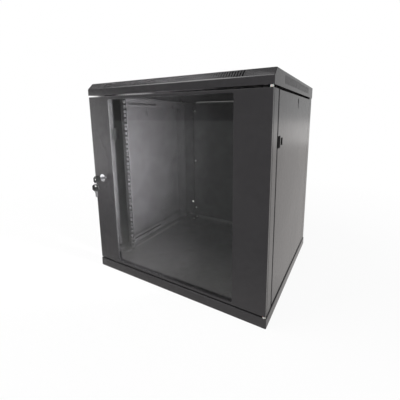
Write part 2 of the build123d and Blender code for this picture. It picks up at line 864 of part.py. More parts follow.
def make_door_glass():
    with BuildPart() as glass:
        with BuildSketch(Plane.XZ.offset(-glass_front_y)):
            with Locations((window_x, window_z)):
                Rectangle(window_width + 2 * glass_overlap, window_height + 2 * glass_overlap)
        extrude(amount=-glass_thickness)
    return glass


# Pivot brackets inside the right stile
def make_upper_bracket():
    with BuildPart() as bracket:
        with BuildSketch(Plane.XZ.offset(-pivot_bracket_back)):
            with BuildLine():
                Polyline(
                    (panel_inner_x, upper_ear_low),
                    (pivot_bracket_x, upper_ear_low),
                    (pivot_bracket_x, upper_ear_high),
                    (panel_inner_x, upper_ear_high),
                )
                offset(amount=frame_gauge, side=Side.RIGHT, kind=Kind.INTERSECTION)
            make_face()
        extrude(amount=pivot_bracket_back - pivot_bracket_front)
        with BuildSketch(Plane.XY.offset(upper_ear_low)):
            with Locations((pivot_x, pivot_y)):
                Circle(pivot_pin_radius + running_clearance)
        extrude(amount=upper_ear_high - upper_ear_low, mode=Mode.SUBTRACT)
        # Slot that the finger tab of the pin travels in
        with BuildSketch(Plane.YZ.offset(pivot_bracket_x)):
            with Locations((pivot_y, pivot_tab_z - pivot_travel / 2)):
                Rectangle(
                    2 * (pivot_tab_radius + rest_gap),
                    pivot_travel + 2 * (pivot_tab_radius + rest_gap),
                )
        extrude(amount=frame_gauge, mode=Mode.SUBTRACT)
    return bracket


def make_lower_bracket():
    with BuildPart() as bracket:
        with BuildSketch(Plane.XY.offset(door_low + cover_gauge)):
            with Locations(
                (
                    (pivot_bracket_x + panel_inner_x) / 2,
                    (pivot_bracket_front + pivot_bracket_back) / 2,
                )
            ):
                Rectangle(
                    panel_inner_x - pivot_bracket_x, pivot_bracket_back - pivot_bracket_front
                )
            with Locations((pivot_x, pivot_y)):
                Circle(pivot_pin_radius + running_clearance, mode=Mode.SUBTRACT)
        extrude(amount=lower_bracket_height)
    return bracket


# Pivot pins: the upper one is sprung and can be drawn down to free the door
def make_upper_pin():
    top = flange_top_z + pivot_pin_reach
    bottom = upper_ear_low - 4.0
    with BuildPart() as pin:
        with BuildSketch(Plane.XY.offset(bottom)):
            with Locations((pivot_x, pivot_y)):
                Circle(pivot_pin_radius)
        extrude(amount=top - bottom)
        # Finger tab that is drawn down
        with BuildSketch(Plane.YZ.offset(pivot_x)):
            with Locations((pivot_y, pivot_tab_z)):
                RegularPolygon(pivot_tab_radius, round_sides)
        extrude(amount=-pivot_tab_length)
        # Collar that the spring pushes on
        with BuildSketch(Plane.XY.offset(pivot_collar_z)):
            with Locations((pivot_x, pivot_y)):
                RegularPolygon(pivot_pin_radius + 1.0, round_sides)
        extrude(amount=pivot_collar_height)
    return pin


def make_lower_pin():
    low = floor_z - pivot_pin_reach
    high = door_low + cover_gauge + lower_bracket_height
    with BuildPart() as pin:
        with BuildSketch(Plane.XY.offset(low)):
            with Locations((pivot_x, pivot_y)):
                Circle(pivot_pin_radius)
        extrude(amount=high - low)
    return pin


def make_pivot_spring():
    low = upper_ear_low + frame_gauge + spring_wire / 2
    rise = pivot_collar_z - spring_wire / 2 - low
    coil_radius = pivot_pin_radius + spring_wire + hair
    steps = spring_turns * spring_sides
    turn = 2 * pi / spring_sides
    coil_points = [
        (
            pivot_x + coil_radius * cos(turn * i),
            pivot_y + coil_radius * sin(turn * i),
            low + rise * i / steps,
        )
        for i in range(steps + 1)
    ]
    with BuildPart() as spring:
        with BuildLine() as coil:
            Polyline(*coil_points)
        with BuildSketch(Plane(origin=coil_points[0], z_dir=(coil.line % 0))):
            RegularPolygon(spring_wire / 2, 4)
        sweep(transition=Transition.RIGHT)
    return spring


# Nylon bushes in the roof flange and in the floor
def make_bush(flange_low, flange_high, sleeve_low, sleeve_high):
    with BuildPart() as bush:
        with BuildSketch(Plane.XY.offset(flange_low)):
            with Locations((pivot_x, pivot_y)):
                RegularPolygon(pivot_bush_flange, round_sides)
        extrude(amount=flange_high - flange_low)
        with BuildSketch(Plane.XY.offset(sleeve_low)):
            with Locations((pivot_x, pivot_y)):
                small_round(pivot_bush_radius)
        extrude(amount=sleeve_high - sleeve_low)
        with BuildSketch(Plane.XY.offset(min(flange_low, sleeve_low))):
            with Locations((pivot_x, pivot_y)):
                Circle(pivot_pin_radius + running_clearance)
        extrude(
            amount=max(flange_high, sleeve_high) - min(flange_low, sleeve_low),
            mode=Mode.SUBTRACT,
        )
    return bush


# Lock: body, nut, plug and cam. All are turned about the lock's axis, which is along Y
lock_plane = Plane(origin=(lock_x, front_y, lock_z), x_dir=(1, 0, 0), z_dir=(0, -1, 0))
cam_back = post_front_y + frame_gauge + 0.4 - front_y
barrel_length = cam_back - 1.8


def make_lock_body():
    with BuildPart() as body:
        with BuildSketch(lock_plane):
            Circle(lock_bezel_radius)
        extrude(amount=lock_bezel_height)
        with BuildSketch(lock_plane):
            small_round(lock_barrel_radius, barrel_sides)
        extrude(amount=-barrel_length)
        with BuildSketch(lock_plane.offset(lock_bezel_height)):
            Circle(lock_plug_radius + running_clearance)
        extrude(amount=-(barrel_length + lock_bezel_height), mode=Mode.SUBTRACT)
    return body


def make_lock_nut():
    with BuildPart() as nut:
        with BuildSketch(lock_plane.offset(-cover_gauge)):
            RegularPolygon(13.0, 6)
            small_hole(lock_barrel_radius + running_clearance, barrel_sides)
        extrude(amount=-lock_nut_thickness)
    return nut


def make_lock_plug():
    with BuildPart() as plug:
        with BuildSketch(lock_plane.offset(lock_bezel_height - 0.4)):
            Circle(lock_plug_radius)
        extrude(amount=-(cam_back + lock_bezel_height - 0.4))
        # Keyway
        with BuildSketch(lock_plane.offset(lock_bezel_height)):
            Rectangle(key_blade_gauge + 0.3, key_blade_width + 0.3)
        extrude(amount=-(lock_bezel_height + 8.0), mode=Mode.SUBTRACT)
        # Square boss for the cam, and the hole for its screw
        with BuildSketch(lock_plane.offset(-cam_back)):
            Rectangle(7.0, 7.0)
        extrude(amount=-cam_gauge)
        with BuildSketch(lock_plane.offset(-cam_back - cam_gauge)):
            small_round(m4_radius + running_clearance)
        extrude(amount=3.5, mode=Mode.SUBTRACT)
    return plug


def make_lock_cam():
    with BuildPart() as cam:
        with BuildSketch(lock_plane.offset(-cam_back)):
            with BuildLine():
                Polyline(
                    (-cam_width / 2, 0),
                    (-cam_width / 2, -cam_length + 3.0),
                    (-cam_width / 2 + 3.0, -cam_length),
                    (cam_width / 2 - 3.0, -cam_length),
                    (cam_width / 2, -cam_length + 3.0),
                    (cam_width / 2, 0),
                )
                ThreePointArc((cam_width / 2, 0), (0, cam_width / 2), (-cam_width / 2, 0))
            make_face()
            Rectangle(7.0 + hair, 7.0 + hair, mode=Mode.SUBTRACT)
        extrude(amount=-cam_gauge)
    return cam


def make_cam_screw():
    with BuildPart() as screw:
        with BuildSketch(lock_plane.offset(-cam_back - cam_gauge)):
            RegularPolygon(5.6, 6)
        extrude(amount=-m4_head_height)
        with BuildSketch(lock_plane.offset(-cam_back - cam_gauge)):
            small_round(m4_radius)
        extrude(amount=3.2)
    return screw


# Keys: a flat cut blade moulded into a plastic head with a hole for the ring.
# Each is laid out on a plane whose origin is the hole and whose X runs to the tip
key_hole_inset = 5.5
blade_start = key_head_length - key_hole_inset


def make_key_head(plane):
    back = -key_hole_inset
    half = key_head_width / 2
    with BuildPart() as head:
        with BuildSketch(plane):
            with BuildLine():
                Polyline(
                    (back, -half + 5.0),
                    (back + 4.0, -half),
                    (blade_start - 6.0, -half),
                    (blade_start, -key_blade_width / 2 - 1.5),
                    (blade_start, key_blade_width / 2 + 1.5),
                    (blade_start - 6.0, half),
                    (back + 4.0, half),
                    (back, half - 5.0),
                    close=True,
                )
            make_face()
        extrude(amount=key_head_thickness / 2, both=True)
        chamfer(head.faces().filter_by(plane_normal(plane)).edges(), length=0.8)
        with BuildSketch(plane):
            small_round(key_hole_radius)
        extrude(amount=key_head_thickness, both=True, mode=Mode.SUBTRACT)
        # Pocket of the blade's shank
        with BuildSketch(plane):
            with Locations((blade_start - 2.5, 0)):
                Rectangle(5.0, key_blade_width)
        extrude(amount=key_blade_gauge / 2, both=True, mode=Mode.SUBTRACT)
    return head


def plane_normal(plane):
    """The axis along a plane's normal, through its origin."""
    return Axis(plane.origin, plane.z_dir)


def make_key_blade(plane):
    half = key_blade_width / 2
    tip = blade_start + key_blade_length
    cut = 1.4
    with BuildPart() as blade:
        with BuildSketch(plane):
            with BuildLine():
                Polyline(
                    (blade_start - 5.0, -half),
                    (blade_start + 5.0, -half),
                    (blade_start + 7.0, -half + cut),
                    (blade_start + 9.0, -half),
                    (blade_start + 12.0, -half + 1.2 * cut),
                    (blade_start + 15.0, -half + 0.4 * cut),
                    (tip - 3.0, -half + cut),
                    (tip, 0),
                    (tip - 3.0, half),
                    (blade_start - 5.0, half),
                    close=True,
                )
            make_face()
        extrude(amount=key_blade_gauge / 2, both=True)
    return blade


# The first key stands in the lock, with its blade upright
key_tip_y = front_y + 8.0 - 0.4
key_hole_y = key_tip_y - key_blade_length - blade_start
key_plane = Plane(origin=(lock_x, key_hole_y, lock_z), x_dir=(0, 1, 0), z_dir=(1, 0, 0))

# The split ring hangs from its hole, and the second key hangs from the ring.
# The ring's wire lies on the hole's lower edge, lifted by its own curve within the head
ring_turn = radians(key_ring_turn)
ring_along = (cos(ring_turn), -sin(ring_turn), 0)
ring_across = (sin(ring_turn), cos(ring_turn), 0)
ring_reach = key_head_thickness / 2 / cos(ring_turn)
ring_sag = key_ring_radius - sqrt(key_ring_radius**2 - ring_reach**2)
wire_lift = key_hole_radius - key_ring_wire - ring_sag - rest_gap - 0.25
ring_top_z = lock_z - wire_lift
ring_centre = (lock_x, key_hole_y, ring_top_z - key_ring_radius)
spare_turn = 2 * ring_turn
spare_hole_z = ring_top_z - 2 * key_ring_radius - wire_lift
spare_plane = Plane(
    origin=(lock_x, key_hole_y, spare_hole_z),
    x_dir=(0, 0, -1),
    z_dir=(cos(spare_turn), -sin(spare_turn), 0),
)


def make_key_ring():
    wire_plane = Plane(origin=ring_centre, x_dir=ring_along, z_dir=(0, 0, 1))
    with BuildPart() as ring:
        with BuildSketch(wire_plane):
            with Locations((key_ring_radius, 0)):
                Rectangle(*key_ring_section)
        revolve(axis=Axis(ring_centre, ring_across))
    return ring


# Fasteners: each kind is one group of separate solids
def make_bolts(places, radius, head_radius, head_height, length):
    """Hex bolts. A place is the plane under the head, whose normal points to the head."""
    with BuildPart() as bolts:
        for place in places:
            with BuildSketch(place):
                RegularPolygon(head_radius, 6)
            extrude(amount=head_height)
            with BuildSketch(place):
                small_round(radius)
            extrude(amount=-length)
    return bolts


def make_nuts(places, radius, head_radius, height):
    """Hex nuts. A place is the plane of the seat, whose normal points away from it."""
    with BuildPart() as nuts:
        for place in places:
            with BuildSketch(place):
                RegularPolygon(head_radius, 6)
                small_hole(radius + running_clearance)
            extrude(amount=height)
    return nuts


def upward(x, y, z):
    """A place whose normal points up."""
    return Plane(origin=(x, y, z), x_dir=(1, 0, 0), z_dir=(0, 0, 1))


def downward(x, y, z):
    """A place whose normal points down."""
    return Plane(origin=(x, y, z), x_dir=(1, 0, 0), z_dir=(0, 0, -1))


def head_places(corners):
    """Under-head planes inside the cabinet: downward under the roof, upward on the floor."""
    heads = [downward(x, y, ceiling_z - frame_gauge) for x, y in corners]
    return heads + [upward(x, y, floor_z + frame_gauge) for x, y in corners]


def nut_places(corners):
    """Seats of the nuts on the same bolts: above the roof flange and under the floor."""
    seats = [upward(x, y, flange_top_z) for x, y in corners]
    return seats + [downward(x, y, floor_z - cover_gauge) for x, y in corners]


def rack_places(x, direction):
    """Planes at plus and minus x for the rack rails' bolts (direction -1) or nuts (1)."""
    levels = (rack_bolt_z, mirror_z(rack_bolt_z))
    return [
        Plane(origin=(side * x, rack_bolt_y, z), x_dir=(0, 1, 0), z_dir=(side * direction, 0, 0))
        for side in (-1, 1)
        for z in levels
    ]


m6_sizes = (m6_radius, m6_head_radius, m6_head_height)
roof_entry = (roof_entry_width, roof_entry_depth, roof_entry_y)
floor_entry = (floor_entry_width, floor_entry_depth, floor_entry_y)

# Body
publish(make_roof_cover().part, "roof_cover")
publish(make_base_tray().part, "base_tray")
publish(make_entry_cover(*roof_entry, cabinet_height - cover_gauge).part, "roof_entry_cover")
publish(make_entry_cover(*floor_entry, floor_z - cover_gauge).part, "floor_entry_cover")
publish_pair(make_front_post(), "front_post")
publish_pair(make_rear_post(), "rear_post")
publish(make_door_bumpers().part, "door_bumpers")
publish(make_back_panel().part, "back_panel")
publish_pair(make_depth_rail(False), "depth_rail_lower")
publish_pair(make_depth_rail(True), "depth_rail_upper")
publish_pair(make_rack_rail(), "rack_rail")

# Side panels
publish_pair(make_side_panel(), "side_panel")
publish_pair(make_edge_housing(), "edge_latch_housing")
publish_pair(make_edge_bolt(), "edge_latch_bolt")
publish_pair(make_top_guide(), "top_latch_guide")
publish_pair(make_top_strip(), "top_latch_strip")

# Door
publish(make_door_frame().part, "door_frame")
publish(make_glass_tape().part, "glass_tape")
publish(make_door_glass().part, "door_glass")
publish(make_upper_bracket().part, "upper_pivot_bracket")
publish(make_lower_bracket().part, "lower_pivot_bracket")
publish(make_upper_pin().part, "upper_pivot_pin")
publish(make_lower_pin().part, "lower_pivot_pin")
publish(make_pivot_spring().part, "pivot_spring")
publish(
    make_bush(door_high + rest_gap, ceiling_z, ceiling_z, flange_top_z + pivot_bush_reach).part,
    "upper_pivot_bush",
)
publish(
    make_bush(
        floor_z, door_low - rest_gap, floor_z - cover_gauge - pivot_bush_reach, floor_z
    ).part,
    "lower_pivot_bush",
)

# Lock and keys
publish(make_lock_body().part, "lock_body")
publish(make_lock_nut().part, "lock_nut")
publish(make_lock_plug().part, "lock_plug")
publish(make_lock_cam().part, "lock_cam")
publish(make_cam_screw().part, "cam_screw")
publish(make_key_head(key_plane).part, "key_head")
publish(make_key_blade(key_plane).part, "key_blade")
publish(make_key_ring().part, "key_ring")
publish(make_key_head(spare_plane).part, "spare_key_head")
publish(make_key_blade(spare_plane).part, "spare_key_blade")

# Fasteners
publish(make_bolts(head_places(post_bolts), *m6_sizes, 9.5).part, "frame_bolts")
publish(make_nuts(nut_places(post_bolts), *m6_sizes).part, "frame_nuts")
rack_heads = rack_places(depth_rail_inner_x - rack_gauge, -1)
publish(make_bolts(rack_heads, *m6_sizes, 10.0).part, "rack_rail_bolts")
publish(make_nuts(rack_places(depth_rail_x, 1), *m6_sizes).part, "rack_rail_nuts")
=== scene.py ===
# %% [markdown]
# Wall mount network cabinet
#
# The cabinet's sheet metal, glass, lock and fasteners were measured and built in CAD.
# This script loads them as a fixed frame and dresses them: paint, plating and glass,
# softened edges, the pivot spring's length when pressed, the heads of the cover screws,
# a pale floor, studio light and the camera.

import json
import math

import bmesh
import bpy
from mathutils import Matrix, Vector


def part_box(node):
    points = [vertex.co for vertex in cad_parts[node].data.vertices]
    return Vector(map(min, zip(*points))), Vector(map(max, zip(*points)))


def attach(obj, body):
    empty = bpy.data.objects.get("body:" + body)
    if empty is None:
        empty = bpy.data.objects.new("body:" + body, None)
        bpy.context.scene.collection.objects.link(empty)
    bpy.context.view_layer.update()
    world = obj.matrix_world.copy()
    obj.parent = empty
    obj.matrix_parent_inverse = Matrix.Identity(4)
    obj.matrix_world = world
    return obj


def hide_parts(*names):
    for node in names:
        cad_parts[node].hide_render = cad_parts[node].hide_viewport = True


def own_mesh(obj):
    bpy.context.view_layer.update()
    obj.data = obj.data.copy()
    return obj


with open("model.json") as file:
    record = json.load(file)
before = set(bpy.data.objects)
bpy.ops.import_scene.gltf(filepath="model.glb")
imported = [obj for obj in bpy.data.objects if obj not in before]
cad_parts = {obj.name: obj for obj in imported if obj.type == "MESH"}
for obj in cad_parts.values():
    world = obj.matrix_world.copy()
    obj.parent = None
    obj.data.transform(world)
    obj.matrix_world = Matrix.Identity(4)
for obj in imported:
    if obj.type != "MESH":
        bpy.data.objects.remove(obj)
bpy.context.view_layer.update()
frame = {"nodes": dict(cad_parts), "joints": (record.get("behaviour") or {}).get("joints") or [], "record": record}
scene = bpy.context.scene
nodes = frame["nodes"]

# %% [markdown]
# Shader maths reads best as plain expressions. This small class wraps a socket of a
# node tree, so that `1 - mask * 0.3` adds the Math nodes that it stands for.

# %% A socket that can be used in expressions


def feed(place, value):
    """Link a wire to an input, or write a plain value into it."""
    if isinstance(value, Wire):
        value.tree.links.new(value.socket, place)
    else:
        place.default_value = value


class Wire:
    """An output socket that adds Math nodes when it is used in an expression."""

    def __init__(self, tree, socket):
        self.tree = tree
        self.socket = socket

    def join(self, operation, first, second):
        node = self.tree.nodes.new("ShaderNodeMath")
        node.operation = operation
        feed(node.inputs[0], first)
        feed(node.inputs[1], second)
        return Wire(self.tree, node.outputs[0])

    def __add__(self, other):
        return self.join("ADD", self, other)

    def __radd__(self, other):
        return self.join("ADD", other, self)

    def __sub__(self, other):
        return self.join("SUBTRACT", self, other)

    def __rsub__(self, other):
        return self.join("SUBTRACT", other, self)

    def __mul__(self, other):
        return self.join("MULTIPLY", self, other)

    def __rmul__(self, other):
        return self.join("MULTIPLY", other, self)


print("operators", [name for name in vars(Wire) if name.endswith(("add__", "sub__", "mul__"))])

# %% [markdown]
# Every other node comes from one method, which takes the node's type, its settings and
# its inputs. Most inputs are given by name, with an underscore for a space. Mix nodes
# have several inputs of one name, so those are given by their place in the list.

# %% A node tree that is wired by name


class Wiring:
    """A node tree, and one method that adds any node to it."""

    def __init__(self, tree):
        self.tree = tree

    def node(self, kind, settings=None, out=0, places=None, **sockets):
        made = self.tree.nodes.new(kind)
        for name, value in (settings or {}).items():
            setattr(made, name, value)
        for place, value in (places or {}).items():
            feed(made.inputs[place], value)
        for name, value in sockets.items():
            feed(made.inputs[name.replace("_", " ")], value)
        return Wire(self.tree, made.outputs[out])

    def rays(self, kind):
        return self.node("ShaderNodeLightPath", out=f"Is {kind} Ray")

    def spread(self, value, low, high, start=0.35, end=0.65):
        return self.node(
            "ShaderNodeMapRange",
            Value=value,
            From_Min=start,
            From_Max=end,
            To_Min=low,
            To_Max=high,
        )

    def blend(self, amount, first, second):
        colours = {0: amount, 6: first, 7: second}
        return self.node("ShaderNodeMix", {"data_type": "RGBA"}, out=2, places=colours)

    def share(self, amount, below, above):
        return self.node("ShaderNodeMixShader", places={0: amount, 1: below, 2: above})


class Finish(Wiring):
    """A material, with the nodes that most finishes need."""

    def __init__(self, name):
        self.material = bpy.data.materials.new(name)
        self.material.use_nodes = True
        super().__init__(self.material.node_tree)
        principled = self.tree.nodes["Principled BSDF"]
        self.inputs = principled.inputs
        self.shader = Wire(self.tree, principled.outputs[0])

    def set(self, **sockets):
        for name, value in sockets.items():
            feed(self.inputs[name.replace("_", " ")], value)

    def show(self, shader):
        feed(self.tree.nodes["Material Output"].inputs["Surface"], shader)

    def place(self):
        return self.node("ShaderNodeTexCoord", out="Object")

    def noise(self, scale, detail, roughness):
        return self.node(
            "ShaderNodeTexNoise",
            Vector=self.place(),
            Scale=scale,
            Detail=detail,
            Roughness=roughness,
        )

    def relief(self, height, distance, strength):
        return self.node(
            "ShaderNodeBump", Height=height, Distance=distance, Strength=strength
        )


print("helpers", [name for name in vars(Wiring) if not name.startswith("_")])

# %% [markdown]
# Powder coat. The sheet steel wears a thin black powder coat, melted and cured in an
# oven. It flows into a fine orange peel about two millimetres across, with a tighter
# grain inside it, and it is glossy enough to mirror pale surroundings softly. The
# colour varies very little; most of what the eye reads is in the gloss and the relief.

# %% Powder coat
paint = Finish("satin_powder_coat")
peel = paint.noise(520.0, 2.0, 0.55)
grain = paint.noise(1900.0, 1.0, 0.5)
drift = paint.noise(7.0, 3.0, 0.6)
coat = paint.spread(drift, 0.0, 1.0)
paint.set(
    Base_Color=paint.blend(coat, (0.0220, 0.0207, 0.0222, 1), (0.0240, 0.0226, 0.0242, 1)),
    Roughness=paint.spread(drift, 0.26, 0.28) + paint.spread(grain, -0.015, 0.015),
    Normal=paint.relief(peel * 0.7 + grain * 0.3, 0.00001, 0.15),
)
print("finish", paint.material.name)

# %% [markdown]
# Zinc plate. Bolts, nuts, pins and the latch strips are steel with a thin bright zinc
# plating. It is a metal with a faint cloudy crystal pattern in its gloss.

# %% Zinc plate
zinc = Finish("bright_zinc")
cloud = zinc.noise(260.0, 3.0, 0.6)
fine = zinc.noise(2400.0, 2.0, 0.5)
crystals = zinc.spread(cloud, 0.0, 1.0)
zinc.set(
    Base_Color=zinc.blend(crystals, (0.50, 0.50, 0.49, 1), (0.66, 0.66, 0.63, 1)),
    Metallic=1.0,
    Roughness=zinc.spread(cloud, 0.26, 0.42),
    Normal=zinc.relief(fine, 0.00002, 0.35),
)
print("finish", zinc.material.name)

# %% [markdown]
# Chrome. The lock, its key blades and the split ring are polished and chromed. Small
# handling scratches only show as a slight change of gloss.

# %% Chrome
chrome = Finish("polished_chrome")
haze = chrome.noise(300.0, 4.0, 0.7)
handled = chrome.spread(haze, 0.0, 1.0)
chrome.set(
    Base_Color=chrome.blend(handled, (0.62, 0.62, 0.64, 1), (0.74, 0.74, 0.76, 1)),
    Metallic=1.0,
    Roughness=chrome.spread(haze, 0.07, 0.18),
)
print("finish", chrome.material.name)

# %% [markdown]
# Door glass. It is clear toughened glass, four millimetres thick, bonded behind the
# frame. A solid pane bends light a little and mirrors the studio on both faces. Rays
# that go to a lamp pass straight through, so that the lamps light the inside as they
# really would instead of leaving it black.

# %% Door glass
glass = Finish("door_pane_glass")
smear = glass.noise(14.0, 3.0, 0.6)
glass.set(
    Base_Color=(0.90, 0.925, 0.915, 1),
    Roughness=glass.spread(smear, 0.0, 0.012),
    IOR=1.5,
    Transmission_Weight=1.0,
)
open_way = glass.node("ShaderNodeBsdfTransparent", Color=(0.88, 0.90, 0.89, 1))
glass.show(glass.share(glass.rays("Shadow"), glass.shader, open_way))
print("finish", glass.material.name)

# %% [markdown]
# Black nylon. The latch housings, their sliders and the key heads are moulded in a
# black nylon with a fine spark-eroded texture, which spreads highlights wide. A dark
# matt plastic turns grey where it is seen edge on, so its specular level is kept low.

# %% Black nylon
nylon = Finish("textured_black_nylon")
spark = nylon.noise(1500.0, 3.0, 0.6)
shade = nylon.noise(40.0, 2.0, 0.5)
moulded = nylon.spread(shade, 0.0, 1.0)
nylon.set(
    Base_Color=nylon.blend(moulded, (0.006, 0.006, 0.006, 1), (0.011, 0.011, 0.011, 1)),
    Roughness=nylon.spread(spark, 0.60, 0.74),
    Specular_IOR_Level=0.02,
    Normal=nylon.relief(spark, 0.00004, 0.5),
)
print("finish", nylon.material.name)

# %% [markdown]
# White nylon. The two pivot bushes are natural nylon: milky, slightly warm, and a
# little translucent, which a small subsurface weight gives.

# %% White nylon
bush = Finish("natural_nylon")
milk = bush.noise(180.0, 2.0, 0.5)
cured = bush.spread(milk, 0.0, 1.0)
bush.set(
    Base_Color=bush.blend(cured, (0.44, 0.43, 0.40, 1), (0.52, 0.51, 0.48, 1)),
    Roughness=bush.spread(milk, 0.36, 0.46),
    Subsurface_Weight=0.15,
    Subsurface_Scale=0.002,
)
print("finish", bush.material.name)

# %% [markdown]
# Rubber. The door's stop pads and the bonding tape round the glass are matt and dark.

# %% Rubber
rubber = Finish("matt_rubber")
pore = rubber.noise(1200.0, 3.0, 0.7)
worn = rubber.spread(pore, 0.0, 1.0)
rubber.set(
    Base_Color=rubber.blend(worn, (0.016, 0.016, 0.016, 1), (0.028, 0.028, 0.028, 1)),
    Roughness=rubber.spread(pore, 0.70, 0.86),
    Normal=rubber.relief(pore, 0.00005, 0.5),
)
print("finish", rubber.material.name)

# %% [markdown]
# Each CAD node already names its material slot in the record, so the finishes can be
# handed out by that name.

# %% Paint every node
finishes = {
    "powder_coat": paint.material,
    "zinc_plate": zinc.material,
    "lock_chrome": chrome.material,
    "clear_glass": glass.material,
    "black_plastic": nylon.material,
    "white_nylon": bush.material,
    "rubber_pad": rubber.material,
}
slot_of = {row["node"]: row["material_slot"] for row in frame["record"]["subparts"]}
for name, node in nodes.items():
    node.data.materials.clear()
    node.data.materials.append(finishes[slot_of[name]])
print("painted", len(nodes))

# %% [markdown]
# Moulded and machined pieces never have razor edges: tools leave a small radius, and
# that radius is what catches the light. The CAD keeps their edges sharp, so a copy of
# each small piece is merged back into whole faces, and its sharp edges are bevelled.
# The copy rides on the same body and stands for the CAD node.

# %% Soften one piece
body_of = {
    name: body
    for body, names in frame["record"]["behaviour"]["bodies"].items()
    for name in names
}
weld = 0.000002
flat_within = math.radians(0.5)
bevelled_from = math.radians(28.0)
shaded_sharp_from = math.radians(35.0)


def hang_up(name, shape, sharp_from):
    """Make a finished bmesh an object of the scene, smooth but for its sharp edges."""
    for face in shape.faces:
        face.smooth = True
    mesh = bpy.data.meshes.new(name)
    shape.to_mesh(mesh)
    shape.free()
    mesh.set_sharp_from_angle(angle=sharp_from)
    piece = bpy.data.objects.new(name, mesh)
    scene.collection.objects.link(piece)
    return piece


def soften(name, width):
    shape = bmesh.new()
    shape.from_mesh(nodes[name].data)
    bmesh.ops.remove_doubles(shape, verts=shape.verts, dist=weld)
    bmesh.ops.dissolve_limit(
        shape,
        angle_limit=flat_within,
        verts=shape.verts,
        edges=shape.edges,
        delimit=set(),
    )
    sharp = [
        edge
        for edge in shape.edges
        if len(edge.link_faces) == 2 and edge.calc_face_angle() > bevelled_from
    ]
    bmesh.ops.bevel(
        shape,
        geom=sharp,
        offset=width,
        offset_type="OFFSET",
        affect="EDGES",
        segments=2,
        profile=0.5,
        material=-1,
        clamp_overlap=True,
    )
    piece = hang_up(name + "_soft", shape, shaded_sharp_from)
    piece.data.materials.append(finishes[slot_of[name]])
    level_faces = piece.modifiers.new("level_faces", "WEIGHTED_NORMAL")
    level_faces.keep_sharp = True
    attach(piece, body_of[name])
    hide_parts(name)
    print(piece.name, len(piece.data.polygons))
    return piece


# %% [markdown]
# Small pieces. Each gets a radius of its own, in metres: half a millimetre on moulded
# plastic and rubber, less on turned and stamped metal, and least on the lock's plug and
# the keys, whose edges are ground.

# %% Soften the small pieces
for name, width in (
    ("frame_bolts", 0.0004),
    ("frame_nuts", 0.0004),
    ("rack_rail_bolts", 0.0004),
    ("rack_rail_nuts", 0.0004),
    ("lock_cam", 0.0003),
    ("lock_nut", 0.0005),
    ("lock_plug", 0.0002),
    ("key_head", 0.0005),
    ("spare_key_head", 0.0005),
    ("key_blade", 0.0002),
    ("spare_key_blade", 0.0002),
    ("edge_latch_bolt_left", 0.0004),
    ("edge_latch_bolt_right", 0.0004),
    ("top_latch_strip_left", 0.0003),
    ("top_latch_strip_right", 0.0003),
    ("door_bumpers", 0.0005),
    ("upper_pivot_bush", 0.0003),
    ("lower_pivot_bush", 0.0003),
):
    soften(name, width)

# %% [markdown]
# Folded sheet. Steel bent over a press brake has a round outside corner of one to two
# millimetres. The CAD gives each bend one flat chamfer. The same softening with a
# smaller width turns that chamfer into a rounder bend and takes the razor edge off the
# rims and the vent slots, as the thick coat of paint does on the real sheets.

# %% Soften the folded sheets
for name, width in (
    ("roof_cover", 0.0004),
    ("base_tray", 0.0004),
    ("door_frame", 0.0004),
    ("side_panel_left", 0.0004),
    ("side_panel_right", 0.0004),
    ("back_panel", 0.0004),
    ("front_post_left", 0.0004),
    ("front_post_right", 0.0004),
    ("rear_post_left", 0.0004),
    ("rear_post_right", 0.0004),
    ("rack_rail_left", 0.0003),
    ("rack_rail_right", 0.0003),
    ("depth_rail_lower_left", 0.0004),
    ("depth_rail_lower_right", 0.0004),
    ("depth_rail_upper_left", 0.0004),
    ("depth_rail_upper_right", 0.0004),
    ("roof_entry_cover", 0.0003),
    ("floor_entry_cover", 0.0003),
):
    soften(name, width)

# %% [markdown]
# Pivot spring. A small coil spring holds the upper pivot pin up. When the pin is drawn
# down by its tab, the coils close up between the pin's collar and the bracket. Joints
# move whole pieces only, so the spring is a softened copy with a mesh of its own. Its
# free length, and the length that is left when the pin has slid its full travel, are worked out.

# %% Soften the pivot spring and work out its pressed length
spring = soften("pivot_spring", 0.00008)
foot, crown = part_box("pivot_spring")
pin_travel = next(
    row["range_m"][1] for row in frame["joints"] if row["name"] == "pivot_pin_slide"
)
spring_length = crown.z - foot.z
pressed_length = spring_length - pin_travel
pressed_length / spring_length
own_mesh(spring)
print("spring", round(spring_length, 4), "pressed", round(pressed_length, 4))

# %% [markdown]
# Cover screws. The back panel and the two cable entry covers are held by pan-head
# machine screws with a crossed recess. A head is a lathe shape, so half its outline is
# spun round the axis and the open top is closed with one flat face. Four cuts with
# bisect_plane mark a cross on that face. The cross is inset a little, so that it gets
# walls, and then pushed down. A boolean cut would leave long thin triangles instead.

# %% One screw head
head_radius = 0.0038
head_height = 0.0024
head_sink = 0.0003
cross_arm = head_radius * 0.11
cross_wall = 0.00012
cross_depth = head_height * 0.55
head_outline = (
    (head_radius, -head_sink),
    (head_radius, head_height * 0.45),
    (head_radius * 0.93, head_height * 0.72),
    (head_radius * 0.75, head_height * 0.92),
    (head_radius * 0.55, head_height),
)


def on_cross(face):
    middle = face.calc_center_median()
    on_top = face.normal.z > 0.99 and middle.z > head_height * 0.9
    return on_top and min(abs(middle.x), abs(middle.y)) < cross_arm * 0.9


